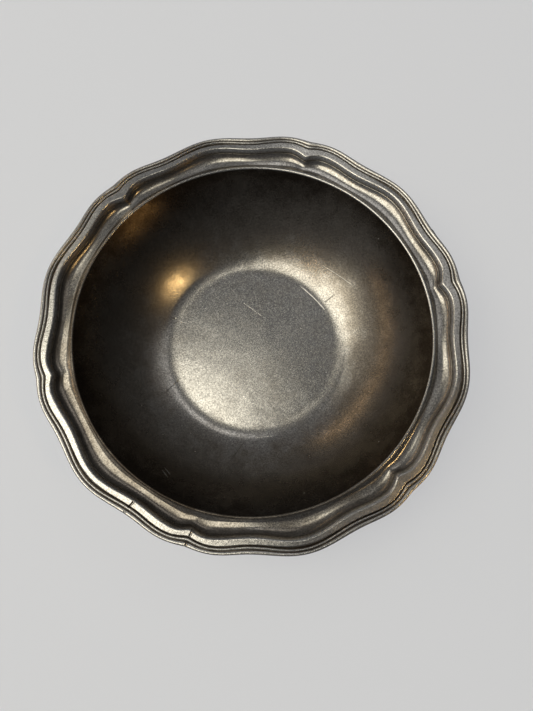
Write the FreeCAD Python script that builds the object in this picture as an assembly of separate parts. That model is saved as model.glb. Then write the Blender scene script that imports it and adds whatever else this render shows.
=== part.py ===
import FreeCAD, Part
import math
import os

from FreeCAD import Vector

# A pewter shaving bowl: a round well inside a wide rim that is waved in six lobes.
# The well's edge lies a little below the rim's top, and a shallow channel runs round it.
# Frame: Z up, origin at the middle of the foot's underside, a notch of the rim on +X.
# Lengths are millimetres and angles are degrees.

# ---- driving dimensions -------------------------------------------------------------
WELL_DEPTH = 29.2            # rim top to floor
WELL_RADIUS = 67.0           # the crisp round edge where the well begins
WELL_EDGE_DEPTH = 2.2        # rim top to that edge
FLOOR_RADIUS = 33.0          # flat part of the floor
BEND_RADIUS = 14.0           # bend between the floor and the wall
BEND_ANGLE = 24.0            # how far that bend turns
WALL = 2.4                   # thickness of the floor and the wall
FOOT_HEIGHT = 3.6            # foot ring, below the floor

# ---- the waved lines of the rim -------------------------------------------------------
# Every waved line repeats six times and mirrors about each notch and each lobe. Its four
# radii are those at the notch, at the shoulder beside it, in the hollow and on the lobe.
LOBES = 6
SECTOR = 360.0 / LOBES
SHOULDER_ANGLE = 5.5
HOLLOW_ANGLE = 16.5
LOBE_ANGLE = SECTOR / 2
OUTLINE = (80.2, 80.7, 79.2, 80.9)       # outermost edge
GROOVE_LINE = (76.8, 78.1, 76.3, 78.5)   # deep groove between the reeds and the band
RIDGE_LINE = (73.0, 75.3, 73.8, 76.0)    # inner edge of the flat band

# ---- section of the border: depths are below the rim top ----------------------------------
SEAT_DEPTH = 1.6             # underside of the border, where it sits on the flange
EDGE_DEPTH = 1.1             # top of the vertical outer edge
OUTER_REED_DEPTH = 0.35      # crest of the outer reed
OUTER_REED_SHARE = 0.54      # share of the way in from the outline to the deep groove
FINE_GROOVE_DEPTH = 0.8      # fine groove between the two reeds
INNER_REED_DEPTH = 0.3       # crest of the inner reed
DEEP_GROOVE_DEPTH = 1.0
BAND_LIP_DEPTH = 0.3         # the band falls by this much from the ridge to the groove
GROOVE_SIDE = 0.35           # width of the deep groove's inner side
RIDGE_LEAN = 1.3             # how far the ridge's inner face leans in at the seat

# ---- flange of the body ------------------------------------------------------------------
COVE_DROP_PER_WIDTH = 0.165  # fall of the channel from the well's edge, for its width
COVE_BOTTOM = 0.36           # where the channel is deepest, from the well's edge outwards
FLANGE = 1.7                 # thickness of the flange
FLANGE_INSET = 1.0           # the flange stops this far inside the outline
FLANGE_ROOT_DEPTH = 6.4      # where the underside of the flange meets the wall

# ---- foot ring and solder ------------------------------------------------------------------
FOOT_OUTER_RADIUS = 31.0
FOOT_TOP_WIDTH = 3.4
FOOT_BASE_WIDTH = 2.4
FOOT_EDGE_ROUNDING = 0.5
BORDER_BEAD = 0.9            # leg of the solder fillet under the border
FOOT_BEAD = 1.2              # leg of the solder fillets beside the foot ring

# ---- derived levels ------------------------------------------------------------------------
BASE_Z = FOOT_HEIGHT
FLOOR_Z = BASE_Z + WALL
RIM_Z = FLOOR_Z + WELL_DEPTH
WELL_EDGE_Z = RIM_Z - WELL_EDGE_DEPTH
SEAT_Z = RIM_Z - SEAT_DEPTH
FLANGE_ROOT_Z = RIM_Z - FLANGE_ROOT_DEPTH

SECTIONS = 24                # sections along one sixth of the rim
COVE_POINTS = 9              # points along the curve of the channel
SEWING_GAP = 0.002

AXIS_FOOT = Vector(0, 0, 0)
AXIS = Vector(0, 0, 1)


def rising_wave(start, end, share):
    """Half a cosine wave: level at both ends."""
    return start + (end - start) * (1 - math.cos(math.pi * share)) / 2


def springing_wave(start, end, share):
    """Quarter of a sine wave: steep at the start, level at the end."""
    return start + (end - start) * math.sin(math.pi * share / 2)


def wavy_radius(line, angle):
    """Radius of a waved line at an angle from the notch on +X."""
    notch, shoulder, hollow, lobe = line
    fold = angle % SECTOR
    fold = min(fold, SECTOR - fold)
    if fold < SHOULDER_ANGLE:
        return springing_wave(notch, shoulder, fold / SHOULDER_ANGLE)
    if fold < HOLLOW_ANGLE:
        share = (fold - SHOULDER_ANGLE) / (HOLLOW_ANGLE - SHOULDER_ANGLE)
        return rising_wave(shoulder, hollow, share)
    share = (fold - HOLLOW_ANGLE) / (LOBE_ANGLE - HOLLOW_ANGLE)
    return rising_wave(hollow, lobe, share)


def place(radius, angle, z):
    """Point at a radius and a height, in the radial plane at an angle."""
    turn = math.radians(angle)
    return Vector(radius * math.cos(turn), radius * math.sin(turn), z)


def line(start, end):
    return Part.makeLine(start, end)


def arc(start, middle, end):
    return Part.Arc(start, middle, end).toShape()


def curve(points):
    """Smooth curve through points, with the same spacing of its knots at every section."""
    last = len(points) - 1
    spline = Part.BSplineCurve()
    spline.interpolate(Points=points, Parameters=[step / last for step in range(len(points))])
    return spline.toShape()


def sector_angles():
    return [SECTOR * step / SECTIONS for step in range(SECTIONS + 1)]


def six_times(faces):
    """The faces of one sixth of the rim, turned to all six places."""
    copies = []
    for lobe in range(LOBES):
        for face in faces:
            copy = face.copy()
            copy.rotate(AXIS_FOOT, AXIS, SECTOR * lobe)
            copies.append(copy)
    return copies


def closed_solid(faces):
    """Sews faces that meet edge to edge into one solid."""
    skin = Part.makeCompound(faces)
    skin.sewShape(SEWING_GAP)
    solid = Part.makeSolid(skin.Shells[0])
    if solid.Volume < 0:
        solid.reverse()
    return solid


def lofted_sixth(section):
    """Faces between the sections of one sixth, from notch to notch."""
    wires = [section(angle) for angle in sector_angles()]
    return Part.makeLoft(wires, False, False).Faces


def ring(outline):
    """Full turn of a closed outline of (radius, z) points about the axis."""
    corners = [Vector(radius, 0, z) for radius, z in outline]
    face = Part.Face(Part.makePolygon(corners + corners[:1]))
    return face.revolve(AXIS_FOOT, AXIS, 360)


# ---- border ----------------------------------------------------------------------------------
def border_section(angle):
    """Outer edge, two reeds, deep groove, flat band, ridge face and seat."""
    outline = wavy_radius(OUTLINE, angle)
    groove = wavy_radius(GROOVE_LINE, angle)
    ridge = wavy_radius(RIDGE_LINE, angle)
    reeds = outline - groove
    fine_groove = outline - OUTER_REED_SHARE * reeds
    outer_crest = (outline + fine_groove) / 2
    inner_crest = (fine_groove + groove) / 2

    foot = place(outline, angle, SEAT_Z)
    edge = place(outline, angle, RIM_Z - EDGE_DEPTH)
    crest_out = place(outer_crest, angle, RIM_Z - OUTER_REED_DEPTH)
    valley = place(fine_groove, angle, RIM_Z - FINE_GROOVE_DEPTH)
    crest_in = place(inner_crest, angle, RIM_Z - INNER_REED_DEPTH)
    groove_floor = place(groove, angle, RIM_Z - DEEP_GROOVE_DEPTH)
    lip = place(groove - GROOVE_SIDE, angle, RIM_Z - BAND_LIP_DEPTH)
    top = place(ridge, angle, RIM_Z)
    heel = place(ridge - RIDGE_LEAN, angle, SEAT_Z)
    return Part.Wire([
        line(foot, edge),
        arc(edge, crest_out, valley),
        arc(valley, crest_in, groove_floor),
        line(groove_floor, lip),
        line(lip, top),
        line(top, heel),
        line(heel, foot),
    ])


def rim_border():
    return closed_solid(six_times(lofted_sixth(border_section)))


# ---- body ------------------------------------------------------------------------------------
def wall_circle():
    """Centre, radius and end angle of the wall's inner arc, from the bend up to the edge."""
    turn = math.radians(BEND_ANGLE)
    start_radius = FLOOR_RADIUS + BEND_RADIUS * math.sin(turn)
    start_z = FLOOR_Z + BEND_RADIUS * (1 - math.cos(turn))
    run = WELL_RADIUS - start_radius
    rise = WELL_EDGE_Z - start_z
    end_turn = 2 * math.atan2(rise, run) - turn
    radius = run / (math.sin(end_turn) - math.sin(turn))
    centre_radius = start_radius - radius * math.sin(turn)
    centre_z = start_z + radius * math.cos(turn)
    return centre_radius, centre_z, radius, end_turn


def bend_arc(angle, offset):
    """Bend between the floor and the wall, moved outwards by an offset."""
    radius = BEND_RADIUS + offset

    def point(turn):
        z = FLOOR_Z + BEND_RADIUS - radius * math.cos(turn)
        return place(FLOOR_RADIUS + radius * math.sin(turn), angle, z)

    turn = math.radians(BEND_ANGLE)
    return arc(point(0), point(turn / 2), point(turn))


def wall_arc(angle, offset, top_turn):
    """Curved wall from the bend up to an angle of its arc, moved outwards by an offset."""
    centre_radius, centre_z, radius, _ = wall_circle()
    radius += offset

    def point(turn):
        z = centre_z - radius * math.cos(turn)
        return place(centre_radius + radius * math.sin(turn), angle, z)

    start_turn = math.radians(BEND_ANGLE)
    return arc(point(start_turn), point((start_turn + top_turn) / 2), point(top_turn))


def flange_root():
    """Where the underside of the flange meets the outer wall: angle of the arc, and radius."""
    centre_radius, centre_z, radius, _ = wall_circle()
    root_turn = math.acos((centre_z - FLANGE_ROOT_Z) / (radius + WALL))
    return root_turn, centre_radius + (radius + WALL) * math.sin(root_turn)


def cove_drop(share, depth):
    """Depth of the channel: falls gently from the well's edge, then climbs to the seat."""
    if share < COVE_BOTTOM:
        fall = share / COVE_BOTTOM
        quick = math.sin(math.pi * fall / 2)
        slow = (1 - math.cos(math.pi * fall)) / 2
        return WELL_EDGE_DEPTH + (depth - WELL_EDGE_DEPTH) * (quick + slow) / 2
    climb = (share - COVE_BOTTOM) / (1 - COVE_BOTTOM)
    return depth - (depth - SEAT_DEPTH) * climb ** 2


def body_section(angle):
    """Bend, wall, channel, seat, outer edge, underside of the flange, and the wall's back."""
    seat_start = wavy_radius(RIDGE_LINE, angle) - RIDGE_LEAN
    seat_end = wavy_radius(OUTLINE, angle) - FLANGE_INSET
    width = seat_start - WELL_RADIUS
    depth = WELL_EDGE_DEPTH + COVE_DROP_PER_WIDTH * width
    _, _, _, edge_turn = wall_circle()
    root_turn, root_radius = flange_root()

    channel = []
    for step in range(COVE_POINTS):
        share = step / (COVE_POINTS - 1)
        channel.append(place(WELL_RADIUS + share * width, angle, RIM_Z - cove_drop(share, depth)))
    underside = [
        place(seat_end, angle, SEAT_Z - FLANGE),
        place(seat_start + FLANGE / 2, angle, SEAT_Z - FLANGE),
        place(WELL_RADIUS + COVE_BOTTOM * width, angle, RIM_Z - depth - FLANGE),
        place(root_radius, angle, FLANGE_ROOT_Z),
    ]
    return Part.Wire([
        bend_arc(angle, 0),
        wall_arc(angle, 0, edge_turn),
        curve(channel),
        line(channel[-1], place(seat_end, angle, SEAT_Z)),
        line(place(seat_end, angle, SEAT_Z), underside[0]),
        curve(underside),
        wall_arc(angle, WALL, root_turn),
        bend_arc(angle, WALL),
    ])


def disc(faces, z):
    """Flat face that closes the ring of edges lying at one height."""
    rim = []
    for face in faces:
        for edge in face.Edges:
            if all(abs(corner.Z - z) < SEWING_GAP for corner in edge.Vertexes):
                rim.append(edge)
    return Part.Face(Part.Wire(Part.sortEdges(rim)[0]))


def bowl_body():
    sides = six_times(lofted_sixth(body_section))
    return closed_solid(sides + [disc(sides, FLOOR_Z), disc(sides, BASE_Z)])


# ---- foot ring -------------------------------------------------------------------------------
def foot_ring():
    inner_top = FOOT_OUTER_RADIUS - FOOT_TOP_WIDTH
    taper = (FOOT_TOP_WIDTH - FOOT_BASE_WIDTH) / 2
    outer_base = FOOT_OUTER_RADIUS - taper
    inner_base = inner_top + taper
    rounding = FOOT_EDGE_ROUNDING
    return ring([
        (inner_top, BASE_Z),
        (FOOT_OUTER_RADIUS, BASE_Z),
        (outer_base, rounding),
        (outer_base - rounding, 0),
        (inner_base + rounding, 0),
        (inner_base, rounding),
    ])


# ---- solder ----------------------------------------------------------------------------------
def border_bead_section(angle):
    """Triangular bead in the corner under the border, outside the flange."""
    flange_edge = wavy_radius(OUTLINE, angle) - FLANGE_INSET
    corner = place(flange_edge, angle, SEAT_Z)
    out = place(flange_edge + BORDER_BEAD, angle, SEAT_Z)
    down = place(flange_edge, angle, SEAT_Z - BORDER_BEAD)
    return Part.Wire([line(corner, out), line(out, down), line(down, corner)])


def border_solder():
    return closed_solid(six_times(lofted_sixth(border_bead_section)))


def foot_side_radius(side, depth):
    """Radius of the foot ring's side at a depth below the base: side is +1 outside, -1 inside."""
    taper = (FOOT_TOP_WIDTH - FOOT_BASE_WIDTH) / 2
    lean = taper * depth / (FOOT_HEIGHT - FOOT_EDGE_ROUNDING)
    middle = FOOT_OUTER_RADIUS - FOOT_TOP_WIDTH / 2
    return middle + side * (FOOT_TOP_WIDTH / 2 - lean)


def foot_solder(side):
    """Bead in the corner between the base and one side of the foot ring."""
    corner = foot_side_radius(side, 0)
    return ring([
        (corner, BASE_Z),
        (corner + side * FOOT_BEAD, BASE_Z),
        (foot_side_radius(side, FOOT_BEAD), BASE_Z - FOOT_BEAD),
    ])


# ---- export ----------------------------------------------------------------------------------
PIECES = {
    "bowl_body": bowl_body(),
    "rim_border": rim_border(),
    "foot_ring": foot_ring(),
    "border_solder": border_solder(),
    "foot_solder_outer": foot_solder(1),
    "foot_solder_inner": foot_solder(-1),
}

os.makedirs("parts", exist_ok=True)
for name, shape in PIECES.items():
    shape.exportStep("parts/" + name + ".step")
    print(name, "valid", shape.isValid(), "closed", shape.isClosed(), "volume", round(shape.Volume), "mm3")
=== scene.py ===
import math

import bpy
import numpy as np
from mathutils import Matrix, Vector, noise


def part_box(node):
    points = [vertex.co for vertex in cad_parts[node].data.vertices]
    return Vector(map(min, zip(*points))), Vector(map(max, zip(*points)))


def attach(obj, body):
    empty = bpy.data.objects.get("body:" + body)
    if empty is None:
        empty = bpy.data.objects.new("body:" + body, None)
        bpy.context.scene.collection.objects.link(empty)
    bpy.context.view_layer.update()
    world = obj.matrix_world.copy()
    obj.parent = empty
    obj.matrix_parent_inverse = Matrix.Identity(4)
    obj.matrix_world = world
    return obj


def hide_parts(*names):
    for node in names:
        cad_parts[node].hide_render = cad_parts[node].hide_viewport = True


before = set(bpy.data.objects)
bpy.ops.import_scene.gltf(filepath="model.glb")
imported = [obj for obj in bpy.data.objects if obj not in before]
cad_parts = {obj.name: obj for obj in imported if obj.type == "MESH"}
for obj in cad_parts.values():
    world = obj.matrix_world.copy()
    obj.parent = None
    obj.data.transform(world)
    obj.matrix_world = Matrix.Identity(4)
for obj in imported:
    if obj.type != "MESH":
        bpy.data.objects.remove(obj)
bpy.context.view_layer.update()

# Sections are drawn in millimetres; everything built from them is in metres.
MM = 0.001

# ---- levels read from the frame ------------------------------------------------------------
RIM_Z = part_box("rim_border")[1].z / MM
SEAT_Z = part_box("rim_border")[0].z / MM
BASE_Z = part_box("bowl_body")[0].z / MM
FOOT_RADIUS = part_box("foot_ring")[1].x / MM

# ---- the well and the flange ---------------------------------------------------------------
WALL = 2.4                   # thickness of the floor and the wall
WELL_RADIUS = 67.0           # the round edge where the well begins
WELL_EDGE_DEPTH = 2.2        # rim top to that edge
WELL_EDGE_Z = RIM_Z - WELL_EDGE_DEPTH
ARRIS = 0.7                  # rounding of that edge
FLOOR_RADIUS = 33.0          # flat part of the floor, underneath
FLOOR_Z = BASE_Z + WALL
FLOOR_DISH = 0.2             # the floor's middle is this much lower than its edge
BEND_START = 31.0            # the floor turns up gently from here
BEND_RADIUS = 14.0           # bend between the floor and the wall
BEND_TURN = math.radians(24.0)
FLANGE = 1.7                 # thickness of the flange
FLANGE_INSET = 1.0           # the flange stops this far inside the outline
FLANGE_ROOT_DEPTH = 6.4      # rim top to where the flange's underside meets the wall
SEAT_DEPTH = RIM_Z - SEAT_Z
COVE_DROP_PER_WIDTH = 0.165  # fall of the channel from the well's edge, for its width
COVE_BOTTOM = 0.36           # where the channel is deepest, as a share of its width
NOTCH_COVE_BOTTOM = 0.5      # the same at a notch
FLANGE_CHAMFER = 0.2
SEAT_STEP = 1.5              # width of the first strip of the seat, under the ridge
BORDER_BEAD = 0.9

# ---- the waved rim: radii at the notch, shoulder, hollow and lobe ----------------------------
LOBES = 6
SECTOR = math.radians(60.0)
CUSP_ANGLE = math.radians(0.9)        # rounding of the notch's point
SHOULDER_ANGLE = math.radians(5.5)
HOLLOW_ANGLE = math.radians(16.5)
LOBE_ANGLE = SECTOR / 2
OUTLINE = (80.2, 80.7, 79.2, 80.9)
GROOVE_LINE = (76.8, 78.1, 76.3, 78.5)
RIDGE_LINE = (73.0, 75.3, 73.8, 76.0)
RIDGE_LEAN = 1.3             # how far the ridge's inner face leans in at the seat
OUTER_REED_SHARE = 0.54
EDGE_CHAMFER = 0.15
EDGE_DEPTH = 1.15            # rim top to the top of the upright outer edge
REED_FOOT_DEPTH = 0.85       # rim top to the level that the outer reed rises from
OUTER_REED_HEIGHT = 0.5
INNER_REED_DEPTH = 0.3
DEEP_GROOVE_DEPTH = 1.05
BAND_LIP_DEPTH = 0.2         # rim top to the band's edge at the deep groove
BAND_TOP_DEPTH = 0.04        # and to its other edge, beside the ridge
LIP = 0.45                   # width of the deep groove's inner side at a notch
LOBE_LIP = 0.6               # extra width of that side on a lobe, where it is a slope
BLUNT_NOTCH = 1.4            # the notches round BLUNT_ANGLE reach in less far by up to this much
BLUNT_ANGLE = math.radians(210.0)
CREST = 0.4                  # half the width of the ridge's rounding

# ---- the foot and the solder -----------------------------------------------------------------
FOOT_WIDTH = 3.4
FOOT_TAPER = 0.5             # how far each side leans in towards the bottom
FOOT_ROUNDING = 0.5
FOOT_BEAD = 1.2

# ---- wear, damage, and painted highlight and shade round the well's edge ---------------------
NICK_ANGLES = (math.radians(222.9), math.radians(240.4))
NICK_WIDTH = 0.2             # half the width of a cut
NICK_DEPTH = 0.55
NICK_SPAN = 1.3 / 78.0       # half the angle that is meshed finely about each nick
NICK_SLANT = 0.002           # radians a millimetre, about NICK_PIVOT
NICK_PIVOT = 76.0
NICKED_REED = (79.2, 0.75)   # middle and half width of the stretches that are cut
NICKED_BAND = (75.2, 1.3)
NICK_BURR = (0.42, 0.16, 0.1)         # distance from the cut, half width and height of its burr
BURR_ANGLE = math.radians(15.4)       # the outline is dented outwards here
BURR_RADIUS = 80.0
BURR_WIDTH = 0.55
BURR_HEIGHT = 0.5
HIGHLIGHT_SIDE_ANGLE = math.radians(32.0)     # the well's edge has a painted highlight on this side and painted shade on the far side
# The lobes aren't quite alike: share of the radius, waves in a turn, lead in degrees.
SWAY_WAVES = ((-0.0041, 3, 35.8), (-0.0016, 4, 46.4), (0.0020, 5, 72.0), (0.0007, 1, 0.0))
UNEVENNESS = 0.05


def wavy_radius(line, angles):
    """Radius of a waved line at angles from the notch on +X."""
    notch, shoulder, hollow, lobe = line
    fold = np.mod(angles, SECTOR)
    fold = np.minimum(fold, SECTOR - fold)
    fold = np.where(fold < CUSP_ANGLE, (fold ** 2 / CUSP_ANGLE + CUSP_ANGLE) / 2, fold)
    spring = np.clip(fold / SHOULDER_ANGLE, 0, 1)
    fall = np.clip((fold - SHOULDER_ANGLE) / (HOLLOW_ANGLE - SHOULDER_ANGLE), 0, 1)
    climb = np.clip((fold - HOLLOW_ANGLE) / (LOBE_ANGLE - HOLLOW_ANGLE), 0, 1)
    near_notch = notch + (shoulder - notch) * np.sin(spring * math.pi / 2)
    falling = shoulder + (hollow - shoulder) * (1 - np.cos(math.pi * fall)) / 2
    rising = hollow + (lobe - hollow) * (1 - np.cos(math.pi * climb)) / 2
    return np.where(fold < SHOULDER_ANGLE, near_notch, np.where(fold < HOLLOW_ANGLE, falling, rising))


def ring_angles():
    """Angles of the mesh's radial lines, closer together at the notches and at the nicks."""
    steps = np.linspace(0, 1, 42) ** 1.3 * LOBE_ANGLE
    sixth = np.concatenate([steps, SECTOR - steps[-2:0:-1]])
    angles = [sixth + SECTOR * lobe for lobe in range(LOBES)]
    angles += [nick + np.linspace(-NICK_SPAN, NICK_SPAN, 31) for nick in NICK_ANGLES]
    return np.unique(np.round(np.concatenate(angles), 6))


ANGLES = ring_angles()
ONES = np.ones_like(ANGLES)
SWAY = sum(share * np.cos(waves * ANGLES + math.radians(lead)) for share, waves, lead in SWAY_WAVES)
# Painted highlight round the well's edge: 1 on one side, 0 on the far side, where the rest is painted shade.
HIGHLIGHT_SIDE = 0.5 + 0.5 * np.cos(ANGLES - HIGHLIGHT_SIDE_ANGLE)
LOBE_SHARE = np.clip(wavy_radius((0, 0, 0, 1), ANGLES), 0, 1)
FROM_NOTCH = np.mod(ANGLES + SECTOR / 2, SECTOR) - SECTOR / 2
NOTCHED = np.exp(-(FROM_NOTCH / SHOULDER_ANGLE) ** 2)
BLUNTED = NOTCHED * np.clip(np.cos(ANGLES - BLUNT_ANGLE), 0, 1)
RIDGE = wavy_radius(RIDGE_LINE, ANGLES) + BLUNT_NOTCH * BLUNTED


# ---- meshes ------------------------------------------------------------------------------------
class Section:
    """Stations across a ring-shaped piece, each a radius, a height, an amount of wear and painted highlight,
    and one of soil and painted shade.
    """

    def __init__(self):
        self.rows = []

    def add(self, radius, height, wear=0.0, soil=0.0):
        self.rows.append([value * ONES for value in (radius, height, wear, soil)])

    def arrays(self):
        return [np.stack(column, axis=1) for column in zip(*self.rows)]


def uneven(radii, heights, amount):
    """Slow hand-made unevenness: how far each point moves up or down, in millimetres."""
    x = radii * np.cos(ANGLES)[:, None]
    y = radii * np.sin(ANGLES)[:, None]
    shift = []
    for place in zip(x.ravel(), y.ravel(), heights.ravel()):
        broad = noise.noise(Vector([value / 17 for value in place]))
        fine = noise.noise(Vector([value / 5 for value in place]))
        shift.append(broad + 0.3 * fine)
    return np.array(shift).reshape(radii.shape) * amount


def cut_nicks(radii, heights, soil):
    """Saw cuts across the band and the outer reed, each with a burr on one side."""
    burr_offset, burr_width, burr_height = NICK_BURR
    for nick in NICK_ANGLES:
        across = (ANGLES[:, None] - nick + (radii - NICK_PIVOT) * NICK_SLANT) * radii
        on_reed = np.exp(-((radii - NICKED_REED[0]) / NICKED_REED[1]) ** 2)
        on_band = np.exp(-((radii - NICKED_BAND[0]) / NICKED_BAND[1]) ** 4)
        place = np.maximum(on_reed, on_band) * np.clip((heights - SEAT_Z - 0.2) / 0.3, 0, 1)
        slot = np.exp(-(across / NICK_WIDTH) ** 4)
        burr = burr_height * np.exp(-((across - burr_offset) / burr_width) ** 2)
        heights = heights + (burr - NICK_DEPTH * slot) * place
        soil = np.maximum(soil, slot * place)
    return heights, soil


def ring_mesh(name, section, unevenness=0.0, swayed=False, nicked=False, poled=False):
    """Closed mesh swept round the axis through a section's stations.

    A poled mesh meets the axis at its first and last stations, and closes on a point there."""
    radii, heights, wear, soil = section.arrays()
    if nicked:
        heights, soil = cut_nicks(radii, heights, soil)
        burr = np.exp(-((ANGLES - BURR_ANGLE) * BURR_RADIUS / BURR_WIDTH) ** 2)[:, None]
        radii = radii + BURR_HEIGHT * burr * (radii > BURR_RADIUS - 1)
    if swayed:
        share = np.clip((radii - WELL_RADIUS) / (RIDGE_LINE[3] - WELL_RADIUS), 0, 1)
        radii = radii * (1 + SWAY[:, None] * share)
    if unevenness:
        heights = heights + uneven(radii, heights, unevenness)
    count, stations = radii.shape
    points = np.stack([radii * np.cos(ANGLES)[:, None], radii * np.sin(ANGLES)[:, None], heights], axis=-1)
    points = points.reshape(-1, 3).tolist()
    spans = stations - 1 if poled else stations
    a = np.arange(count)[:, None]
    b = (a + 1) % count
    s = np.arange(spans)[None, :]
    t = (s + 1) % stations
    quads = np.stack([a * stations + s, a * stations + t, b * stations + t, b * stations + s], axis=-1)
    faces = quads.reshape(-1, 4).tolist()
    if poled:
        first, last = len(points), len(points) + 1
        points += [[0, 0, float(heights[:, 0].mean())], [0, 0, float(heights[:, -1].mean())]]
        for line in range(count):
            here, there = line * stations, (line + 1) % count * stations
            faces.append([first, here, there])
            faces.append([last, there + stations - 1, here + stations - 1])
    mesh = bpy.data.meshes.new(name)
    mesh.from_pydata((np.array(points) * MM).tolist(), [], faces)
    for key, values in (("wear", wear), ("soil", soil)):
        layer = mesh.attributes.new(key, "FLOAT", "POINT")
        spare = [0.0] * (len(points) - values.size)
        layer.data.foreach_set("value", np.append(values.ravel(), spare).astype(np.float32))
    mesh.update()
    mesh.shade_smooth()
    piece = bpy.data.objects.new(name, mesh)
    bpy.context.scene.collection.objects.link(piece)
    return piece


def spread(start, end, count):
    """Evenly spaced values after start, up to and including end."""
    return np.linspace(start, end, count + 1)[1:]


def wall_circle():
    """Centre, radius and end angle of the arc of the wall's inner face."""
    start_radius = FLOOR_RADIUS + BEND_RADIUS * math.sin(BEND_TURN)
    start_z = FLOOR_Z + BEND_RADIUS * (1 - math.cos(BEND_TURN))
    run = WELL_RADIUS - start_radius
    rise = WELL_EDGE_Z - start_z
    end_turn = 2 * math.atan2(rise, run) - BEND_TURN
    radius = run / (math.sin(end_turn) - math.sin(BEND_TURN))
    centre_radius = start_radius - radius * math.sin(BEND_TURN)
    centre_z = start_z + radius * math.cos(BEND_TURN)
    return centre_radius, centre_z, radius, end_turn


def cove_drop(share, depth):
    """Depth of the channel at a share of its width, from the well's edge outwards."""
    bottom = COVE_BOTTOM + (NOTCH_COVE_BOTTOM - COVE_BOTTOM) * NOTCHED
    fall = np.clip(share / bottom, 0, 1)
    ease = (np.sin(math.pi * fall / 2) + (1 - np.cos(math.pi * fall)) / 2) / 2
    climb = np.clip((share - bottom) / (1 - bottom), 0, 1)
    return WELL_EDGE_DEPTH + (depth - WELL_EDGE_DEPTH) * ease - (depth - SEAT_DEPTH) * climb ** 3


def add_well(section):
    """Floor, bend and wall, from the axis up to the rounding of the well's edge."""
    centre_radius, centre_z, radius, end_turn = wall_circle()
    bend_end = FLOOR_RADIUS + BEND_RADIUS * math.sin(BEND_TURN)
    bend_z = FLOOR_Z + BEND_RADIUS * (1 - math.cos(BEND_TURN))
    bend_width = bend_end - BEND_START
    bend_rise = bend_width * math.tan(BEND_TURN) / 3
    # From the floor up to the top of the wall the colour darkens: patina, and painted shade on the wall.
    for r in spread(0, BEND_START, 19):
        section.add(r, bend_z - bend_rise - FLOOR_DISH * (1 - (r / BEND_START) ** 2),
                    soil=0.06 * r / BEND_START)
    for share in spread(0, 1, 18):
        section.add(BEND_START + bend_width * share, bend_z - bend_rise * (1 - share ** 3),
                    soil=0.06 + 0.19 * share)
    for turn in spread(BEND_TURN, end_turn - ARRIS / radius, 32):
        rise = (turn - BEND_TURN) / (end_turn - BEND_TURN)
        section.add(centre_radius + radius * math.sin(turn), centre_z - radius * math.cos(turn),
                    soil=0.3 + 0.12 * min(1, rise * 8) + 0.58 * rise ** 1.5)


def add_channel(section, width, depth):
    """The well's rounded edge, and the channel outside it as far as the border's seat."""
    _, _, _, end_turn = wall_circle()
    from_r, from_z = WELL_RADIUS - ARRIS * math.cos(end_turn), WELL_EDGE_Z - ARRIS * math.sin(end_turn)
    to_r, to_z = WELL_RADIUS + ARRIS, RIM_Z - cove_drop(ARRIS / width, depth)
    # The rounded edge gets a painted highlight on one side and painted shade on the other, not real wear or
    # soil.
    for t in np.linspace(0.12, 0.88, 6):
        r = from_r * (1 - t) ** 2 + WELL_RADIUS * 2 * t * (1 - t) + to_r * t ** 2
        z = from_z * (1 - t) ** 2 + WELL_EDGE_Z * 2 * t * (1 - t) + to_z * t ** 2
        section.add(r, z, wear=HIGHLIGHT_SIDE, soil=1 - HIGHLIGHT_SIDE)
    # In the channel: painted highlight near the edge on one side, painted shade on the far side, and painted
    # shade in the crease at the ridge's foot.
    for share in np.concatenate([np.linspace(0.17, 0.22, 2), spread(0.22, 1.0, 30)]):
        section.add(WELL_RADIUS + share * width, RIM_Z - cove_drop(share, depth),
                    wear=max(0, 0.6 - share * 3) * HIGHLIGHT_SIDE,
                    soil=0.45 - 0.33 * HIGHLIGHT_SIDE + 0.8 * max(0, share - 0.6))


def make_body():
    """Floor, wall and flange: the inside from the axis outwards, then the outside back to the axis."""
    seat_start = RIDGE - RIDGE_LEAN
    seat_end = wavy_radius(OUTLINE, ANGLES) - FLANGE_INSET
    width = seat_start - WELL_RADIUS
    depth = WELL_EDGE_DEPTH + COVE_DROP_PER_WIDTH * width
    under_z = SEAT_Z - FLANGE
    centre_radius, centre_z, radius, _ = wall_circle()
    outer = radius + WALL
    root_z = RIM_Z - FLANGE_ROOT_DEPTH
    root_turn = math.acos((centre_z - root_z) / outer)
    root_radius = centre_radius + outer * math.sin(root_turn)
    knee = seat_start + FLANGE / 2
    bottom = WELL_RADIUS + COVE_BOTTOM * width
    bottom_z = RIM_Z - depth - FLANGE

    section = Section()
    add_well(section)
    add_channel(section, width, depth)
    section.add(seat_start + SEAT_STEP, SEAT_Z)
    section.add(seat_end, SEAT_Z)
    section.add(seat_end, under_z + FLANGE_CHAMFER)
    section.add(seat_end - FLANGE_CHAMFER, under_z)
    for share in spread(0, 1, 6):
        section.add(seat_end - FLANGE_CHAMFER + (knee - seat_end + FLANGE_CHAMFER) * share, under_z)
    for share in spread(0, 1, 8):
        ease = (1 - math.cos(math.pi * share)) / 2
        section.add(knee + (bottom - knee) * share, under_z + (bottom_z - under_z) * ease)
    for share in spread(0, 1, 7):
        section.add(bottom + (root_radius - bottom) * share, bottom_z + (root_z - bottom_z) * share ** 2,
                    soil=0.5)
    for turn in np.linspace(root_turn, BEND_TURN, 22)[1:]:
        section.add(centre_radius + outer * math.sin(turn), centre_z - outer * math.cos(turn), soil=0.3)
    for turn in np.linspace(BEND_TURN, 0, 7)[1:]:
        section.add(FLOOR_RADIUS + (BEND_RADIUS + WALL) * math.sin(turn),
                    FLOOR_Z + BEND_RADIUS - (BEND_RADIUS + WALL) * math.cos(turn), soil=0.5)
    for r in np.linspace(FLOOR_RADIUS, 2.0, 8)[1:]:
        section.add(r, BASE_Z, soil=0.4)
    return ring_mesh("bowl_body_pewter", section, unevenness=UNEVENNESS, swayed=True, poled=True)


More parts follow.
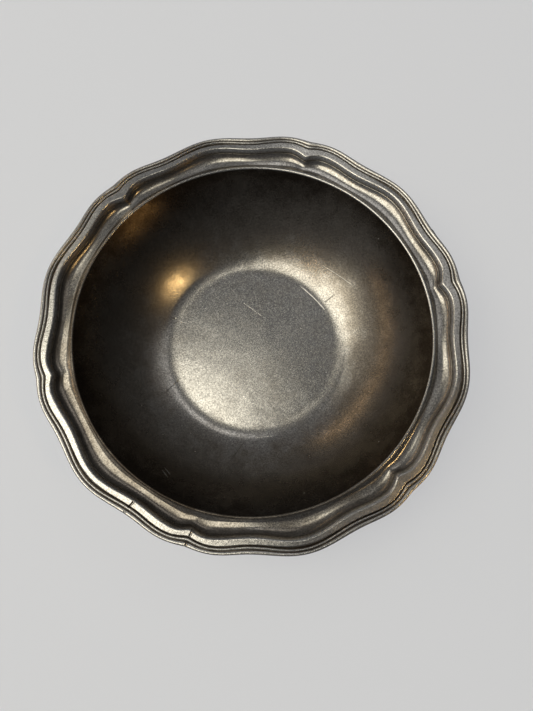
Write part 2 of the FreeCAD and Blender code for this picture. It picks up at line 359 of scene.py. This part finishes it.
def make_border():
    """Two reeds, the deep groove, the flat band and the ridge, from the outer edge inwards."""
    outline = wavy_radius(OUTLINE, ANGLES)
    groove = wavy_radius(GROOVE_LINE, ANGLES)
    reeds = outline - groove

    section = Section()
    section.add(outline - EDGE_CHAMFER, SEAT_Z)
    section.add(outline, SEAT_Z + EDGE_CHAMFER, wear=0.3)
    section.add(outline, RIM_Z - EDGE_DEPTH, wear=0.3)
    for x in np.linspace(0.04, 1, 16):
        crest = math.sin(math.pi * (0.14 + 0.86 * x)) ** 0.7 if x < 1 else 0
        section.add(outline - reeds * OUTER_REED_SHARE * x,
                    RIM_Z - REED_FOOT_DEPTH + OUTER_REED_HEIGHT * crest,
                    wear=0.9 * crest ** 3, soil=(1 - crest) * (x > 0.5))
    for x in spread(0, 1, 14):
        crest = math.sin(math.pi * x) ** 0.7 if x < 1 else 0
        valley = REED_FOOT_DEPTH + (DEEP_GROOVE_DEPTH - REED_FOOT_DEPTH) * x
        section.add(outline - reeds * (OUTER_REED_SHARE + (1 - OUTER_REED_SHARE) * x),
                    RIM_Z - valley + (valley - INNER_REED_DEPTH) * crest,
                    wear=0.9 * crest ** 3, soil=1 - crest)
    lip = LIP + LOBE_LIP * LOBE_SHARE
    for x in spread(0, 1, 6):
        rise = (DEEP_GROOVE_DEPTH - BAND_LIP_DEPTH) * math.sin(math.pi / 2 * x ** 1.3)
        section.add(groove - lip * x, RIM_Z - DEEP_GROOVE_DEPTH + rise, soil=0.9 * (1 - x))
    flat_start = groove - lip
    for x in spread(0, 1, 11):
        section.add(flat_start + (RIDGE + CREST - flat_start) * x,
                    RIM_Z - BAND_LIP_DEPTH + (BAND_LIP_DEPTH - BAND_TOP_DEPTH) * x,
                    wear=0.25 + 0.5 * x ** 4)
    crest_end = CREST * SEAT_DEPTH / RIDGE_LEAN
    for t in np.linspace(0.1, 1, 8):
        section.add(RIDGE + CREST * (1 - 2 * t),
                    RIM_Z - BAND_TOP_DEPTH * (1 - t) ** 2 - crest_end * t ** 2, wear=1.0 - 0.4 * t)
    # The ridge's inner face is painted darker towards the seat: painted shade in the crease beside the
    # channel.
    for x in spread(0, 1, 6):
        section.add(RIDGE - CREST - (RIDGE_LEAN - CREST) * x,
                    RIM_Z - crest_end - (SEAT_DEPTH - crest_end) * x,
                    wear=0.4 * (1 - x), soil=0.25 + 0.4 * x)
    return ring_mesh("rim_border_pewter", section, unevenness=UNEVENNESS, swayed=True, nicked=True)


def make_foot():
    """Ring with sides that lean in towards its rounded bottom edges."""
    top_in, top_out = FOOT_RADIUS - FOOT_WIDTH, FOOT_RADIUS
    low_in, low_out = top_in + FOOT_TAPER, top_out - FOOT_TAPER
    rounding = FOOT_ROUNDING
    section = Section()
    section.add(top_in, BASE_Z)
    for x in np.linspace(0, 1, 7):
        section.add(top_out + (low_out - top_out) * x, BASE_Z * (1 - x) + rounding * x, soil=0.4 * (1 - x))
    for turn in spread(0, math.pi / 2, 4):
        section.add(low_out - rounding * (1 - math.cos(turn)), rounding * (1 - math.sin(turn)), wear=0.8)
    for turn in np.linspace(math.pi / 2, 0, 5):
        section.add(low_in + rounding * (1 - math.cos(turn)), rounding * (1 - math.sin(turn)), wear=0.8)
    for x in spread(0, 1, 6)[:-1]:
        section.add(low_in + (top_in - low_in) * x, rounding + (BASE_Z - rounding) * x, soil=0.5 * x)
    return ring_mesh("foot_ring_pewter", section)


def make_bead(name, corner, leg, side, top_z, lean=0.0, swayed=False):
    """Concave solder fillet under a level face: side is +1 where it grows outwards from its corner."""
    section = Section()
    section.add(corner, top_z)
    section.add(corner + side * leg, top_z)
    for turn in spread(0, math.pi / 2, 6):
        down = 1 - math.cos(turn)
        section.add(corner + side * (leg * (1 - math.sin(turn)) - lean * down), top_z - leg * down, soil=0.6)
    return ring_mesh(name, section, swayed=swayed)


# ---- materials -----------------------------------------------------------------------------------
class Graph:
    """Adds shader nodes to a material, wiring or setting their inputs as they are made."""

    def __init__(self, material):
        self.tree = material.node_tree

    def node(self, kind, inputs=None, **settings):
        made = self.tree.nodes.new(kind)
        for key, value in settings.items():
            setattr(made, key, value)
        for key, value in (inputs or {}).items():
            self.feed(made.inputs[key], value)
        return made

    def feed(self, socket, value):
        if isinstance(value, bpy.types.NodeSocket):
            self.tree.links.new(value, socket)
        else:
            socket.default_value = value

    def math(self, operation, first, second=0.0, clamp=False):
        made = self.node("ShaderNodeMath", {0: first, 1: second}, operation=operation, use_clamp=clamp)
        return made.outputs[0]

    def band(self, value, low, high, start=0.0, end=1.0):
        """Value between low and high, taken to start and end."""
        inputs = {"Value": value, "From Min": low, "From Max": high, "To Min": start, "To Max": end}
        return self.node("ShaderNodeMapRange", inputs).outputs[0]

    def noise(self, where, scale, detail=2.0, roughness=0.5):
        inputs = {"Vector": where, "Scale": scale, "Detail": detail, "Roughness": roughness}
        return self.node("ShaderNodeTexNoise", inputs).outputs[0]

    def mix(self, share, first, second, blend="MIX"):
        made = self.node("ShaderNodeMix", data_type="RGBA", blend_type=blend)
        self.feed(made.inputs[0], share)
        self.feed(made.inputs[6], first)
        self.feed(made.inputs[7], second)
        return made.outputs[2]

    def dot(self, where, direction):
        made = self.node("ShaderNodeVectorMath", {0: where, 1: direction}, operation="DOT_PRODUCT")
        return made.outputs[1]

    def scratch(self, where, middle, heading, length, width, bend=900.0):
        """How far inside a thin bowed line each point is: 1 on the line, 0 away from it. Millimetres."""
        turn = math.radians(heading)
        along = Vector((math.cos(turn), math.sin(turn), 0))
        centre = Vector((middle[0], middle[1], 0)) + Vector((-along.y, along.x, 0)) * bend
        away = self.node("ShaderNodeVectorMath", {0: where, 1: centre * MM}, operation="DISTANCE")
        offset = self.math("ABSOLUTE", self.math("SUBTRACT", away.outputs[1], abs(bend) * MM))
        across = self.band(offset, width * MM / 2, width * MM / 6)
        start = along.dot(Vector((middle[0], middle[1], 0))) * MM
        reach = self.math("ABSOLUTE", self.math("SUBTRACT", self.dot(where, along), start))
        ends = self.band(reach, length * MM / 2, length * MM / 4)
        return self.math("MULTIPLY", across, ends)


# The darker two tones are real tarnish and patina, and also the colour of the painted shade in the well and
# the channel.
CLEAN = (0.46, 0.445, 0.42, 1)
TARNISH_AND_SHADE = (0.21, 0.188, 0.16, 1)
PATINA_AND_SHADE = (0.042, 0.034, 0.027, 1)

# Scratches in the well: middle, heading, length, width, bow radius; the first are bright, then dark.
BRIGHT_SCRATCHES = (
    ((29.6, 15.3), -60, 17, 0.5, -60),
    ((3.0, 16.5), -51, 10, 0.16, 900),
    ((-26.4, 17.6), -34, 4, 0.25, 900),
    ((-8.0, -13.0), -58, 14, 0.2, 900),
    ((-11.0, -16.0), -57, 11, 0.3, 200),
    ((-43.3, -43.0), -62, 4, 0.35, 900),
    ((-42.4, -42.4), -60, 4, 0.3, 900),
    ((41.0, 21.0), -52, 16, 0.3, -80),
    ((-5.0, -37.0), -8, 9, 0.3, 900),
)
DARK_SCRATCHES = (
    ((35.9, 13.0), 24, 5, 0.4, 900),
    ((-37.0, -8.5), 34, 12, 0.35, 900),
    ((-16.0, -40.0), 42, 14, 0.35, 900),
    ((-30.0, 20.0), 10, 1.6, 0.9, 900),
)


def pewter(name, roughness=0.3, grained=1.0, brushed=0.0, scratched=False):
    """Old cast pewter: grey on worn places and under painted highlight, brown-black where it is never rubbed
    and under painted shade.
    """
    material = bpy.data.materials.new(name)
    material.use_nodes = True
    graph = Graph(material)
    where = graph.node("ShaderNodeTexCoord").outputs["Object"]
    wear = graph.node("ShaderNodeAttribute", attribute_name="wear").outputs["Fac"]
    soil = graph.node("ShaderNodeAttribute", attribute_name="soil").outputs["Fac"]
    grain = graph.noise(where, 1900, 3.0, 0.6)
    mottle = graph.noise(where, 160, 4.0, 0.62)
    cloud = graph.noise(where, 30, 3.0)
    turned = graph.node("ShaderNodeMapping", {"Vector": where, "Rotation": (0, 0, math.radians(58)),
                                              "Scale": (60, 1700, 60)}).outputs[0]
    streaks = graph.noise(turned, 1.0, 3.0, 0.65)

    darkening = graph.math("ADD", soil, graph.band(mottle, 0.3, 0.7, -0.1, 0.1))
    darkening = graph.math("ADD", darkening, graph.band(cloud, 0.3, 0.7, -0.09, 0.09))
    darkening = graph.math("SUBTRACT", darkening, graph.math("MULTIPLY", wear, 0.6))
    half = graph.band(darkening, 0.0, 0.5)
    full = graph.band(darkening, 0.45, 1.0)
    colour = graph.mix(half, CLEAN, TARNISH_AND_SHADE)
    colour = graph.mix(full, colour, PATINA_AND_SHADE)
    speckle = graph.band(grain, 0.3, 0.7, 0.52, 1.48)
    tone = graph.node("ShaderNodeCombineColor", {0: speckle, 1: speckle, 2: speckle}).outputs[0]
    colour = graph.mix(1.0, colour, tone, "MULTIPLY")

    rough = graph.math("ADD", graph.band(mottle, 0.25, 0.75, roughness - 0.03, roughness + 0.04),
                       graph.math("MULTIPLY", soil, 0.08))
    rough = graph.math("SUBTRACT", rough, graph.math("MULTIPLY", wear, 0.05))
    height = graph.math("ADD", graph.math("MULTIPLY", grain, grained), graph.math("MULTIPLY", mottle, 0.15))
    height = graph.math("ADD", height, graph.math("MULTIPLY", streaks, brushed))
    if scratched:
        flat = graph.node("ShaderNodeVectorMath", {0: where, 1: (1, 1, 0)}, operation="MULTIPLY").outputs[0]
        for scratches, shade, push in ((BRIGHT_SCRATCHES, (0.8, 0.78, 0.74, 1), 1.5),
                                       (DARK_SCRATCHES, (0.05, 0.045, 0.04, 1), -2.0)):
            for scratch in scratches:
                mark = graph.scratch(flat, *scratch)
                colour = graph.mix(graph.math("MULTIPLY", mark, 0.4), colour, shade)
                height = graph.math("ADD", height, graph.math("MULTIPLY", mark, push))
        cells = graph.node("ShaderNodeTexVoronoi", {"Vector": where, "Scale": 190.0})
        chosen = graph.math("GREATER_THAN", graph.node("ShaderNodeSeparateColor",
                                                       {0: cells.outputs["Color"]}).outputs[0], 0.72)
        dust = graph.math("MULTIPLY", graph.band(cells.outputs["Distance"], 0.055, 0.025), chosen)
        colour = graph.mix(graph.math("MULTIPLY", dust, 0.8), colour, (0.55, 0.53, 0.5, 1))
        rough = graph.math("ADD", rough, graph.math("MULTIPLY", dust, 0.5))
    bump = graph.node("ShaderNodeBump", {"Height": height, "Strength": 1.0, "Distance": 0.00003})
    shader = material.node_tree.nodes["Principled BSDF"]
    shader.inputs["Metallic"].default_value = 1.0
    graph.feed(shader.inputs["Base Color"], colour)
    graph.feed(shader.inputs["Roughness"], rough)
    graph.feed(shader.inputs["Normal"], bump.outputs[0])
    return material


# ---- the pieces ------------------------------------------------------------------------------------
def finish_piece(piece, node, material):
    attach(piece, "root")
    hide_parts(node)
    piece.data.materials.append(material)


flange_edge = wavy_radius(OUTLINE, ANGLES) - FLANGE_INSET
foot_lean = FOOT_TAPER / (BASE_Z - FOOT_ROUNDING) * FOOT_BEAD
solder = pewter("solder", roughness=0.36)
finish_piece(make_body(), "bowl_body",
             pewter("body_pewter", 0.2, 0.25, brushed=0.3, scratched=True))
finish_piece(make_border(), "rim_border", pewter("border_pewter", 0.26, 1.1))
finish_piece(make_foot(), "foot_ring", pewter("foot_pewter", 0.3))
finish_piece(make_bead("border_solder_bead", flange_edge, BORDER_BEAD, 1, SEAT_Z, swayed=True),
             "border_solder", solder)
finish_piece(make_bead("foot_solder_outer_bead", FOOT_RADIUS, FOOT_BEAD, 1, BASE_Z, foot_lean),
             "foot_solder_outer", solder)
finish_piece(make_bead("foot_solder_inner_bead", FOOT_RADIUS - FOOT_WIDTH, FOOT_BEAD, -1, BASE_Z, foot_lean),
             "foot_solder_inner", solder)


# ---- stage, light and camera -------------------------------------------------------------------------
# The camera, the lights and the world are laid out square to the view, and then turned with it.
VIEW_TURN = Matrix.Rotation(math.radians(-13.6), 4, "Z")
CAMERA_PLACE = (0.00595, -0.05746, 0.1984)   # the last is the height above the rim
CAMERA_TILT = math.radians(13.33)
CAMERA_ROLL = math.radians(0.24)
LENS = 28.47


def glowing(name, colour, strength, albedo):
    material = bpy.data.materials.new(name)
    material.use_nodes = True
    shader = material.node_tree.nodes["Principled BSDF"]
    shader.inputs["Base Color"].default_value = (albedo, albedo, albedo, 1)
    shader.inputs["Roughness"].default_value = 0.9
    shader.inputs["Specular IOR Level"].default_value = 0.1
    shader.inputs["Emission Color"].default_value = (*colour, 1)
    shader.inputs["Emission Strength"].default_value = strength
    return material


def make_floor():
    bpy.ops.mesh.primitive_circle_add(vertices=96, radius=3.0, fill_type="NGON")
    floor = bpy.context.object
    floor.name = "floor"
    floor.data.materials.append(glowing("floor", (0.938, 0.96, 1.0), 0.46, 0.3))


def make_backdrop():
    """Pale wall all round, for the low views only: the bowl doesn't reflect it."""
    bpy.ops.mesh.primitive_cylinder_add(vertices=96, radius=2.95, depth=6.0, end_fill_type="NOTHING",
                                        location=(0, 0, 2.99))
    backdrop = bpy.context.object
    backdrop.name = "backdrop"
    backdrop.data.materials.append(glowing("backdrop", (1, 1, 1), 0.6, 0.0))
    backdrop.visible_glossy = False
    backdrop.visible_diffuse = False
    backdrop.visible_shadow = False


def soft_light(name, place, size, radiance, colour, turn=0, level=True):
    """Soft light facing down, or the bowl where it isn't level: metres, and a turn in degrees."""
    light = bpy.data.lights.new(name, "AREA")
    light.shape = "RECTANGLE"
    light.size, light.size_y = size
    light.energy = radiance * math.pi * size[0] * size[1]
    light.color = colour
    lamp = bpy.data.objects.new(name, light)
    facing = Matrix.Rotation(math.radians(turn), 4, "Z")
    if not level:
        facing = (-Vector(place)).to_track_quat("-Z", "Y").to_matrix().to_4x4()
    lamp.matrix_world = VIEW_TURN @ Matrix.Translation(place) @ facing
    lamp.visible_camera = False
    bpy.context.scene.collection.objects.link(lamp)


def make_world():
    """Dim room, lighter on the left than on the right."""
    world = bpy.data.worlds.new("world")
    world.use_nodes = True
    graph = Graph(world)
    where = graph.node("ShaderNodeTexCoord").outputs["Generated"]
    side = VIEW_TURN.to_3x3() @ Vector((-1, 0.25, 0))
    background = world.node_tree.nodes["Background"]
    background.inputs["Color"].default_value = (0.95, 0.97, 1.0, 1)
    graph.feed(background.inputs["Strength"], graph.band(graph.dot(where, side), -0.9, 0.9, 0.05, 0.28))
    bpy.context.scene.world = world


def make_camera():
    """Looks down at the bowl, tilted a little, close enough for strong perspective."""
    data = bpy.data.cameras.new("camera")
    data.lens = LENS
    data.sensor_width = 36
    data.clip_start = 0.01
    camera = bpy.data.objects.new("camera", data)
    across, back, above_rim = CAMERA_PLACE
    place = VIEW_TURN @ Matrix.Translation((across, back, above_rim + RIM_Z * MM))
    tilt = Matrix.Rotation(CAMERA_TILT, 4, "X")
    roll = Matrix.Rotation(CAMERA_ROLL, 4, "Y")
    camera.matrix_world = place @ roll @ tilt
    bpy.context.scene.collection.objects.link(camera)
    bpy.context.scene.camera = camera


CREAM = (1.0, 0.95, 0.80)
DAYLIGHT = (1, 0.98, 0.95)
AMBER = (1.0, 0.56, 0.17)
GOLD = (1.0, 0.68, 0.3)
PALE_GOLD = (1.0, 0.68, 0.35)
make_floor()
make_backdrop()
soft_light("key", (-0.62, -0.09, 1.2), (1.1, 0.8), 2.65, CREAM, -8)
soft_light("key_halo", (-1.3, 0.2, 1.25), (1.1, 1.7), 0.6, CREAM)
soft_light("far_window", (0.19, 0.85, 1.2), (0.4, 0.55), 1.0, DAYLIGHT)
soft_light("right_wall", (0.6, 0.62, 1.2), (0.8, 0.75), 0.45, DAYLIGHT)
soft_light("amber_lamp", (0.80, -0.34, 1.2), (0.08, 0.06), 105.0, GOLD)
soft_light("amber_low", (0.95, -0.70, 0.1), (0.35, 0.12), 5.0, AMBER, level=False)
soft_light("amber_spot", (-0.64, -0.49, 1.2), (0.07, 0.07), 14.0, AMBER)
soft_light("amber_strip", (-1.1, 0.1, 0.50), (0.8, 0.05), 3.0, PALE_GOLD, level=False)
soft_light("amber_strip_far", (-0.78, 0.78, 0.50), (0.8, 0.05), 3.0, PALE_GOLD, level=False)
make_world()
make_camera()
bpy.context.scene.view_settings.view_transform = "Standard"
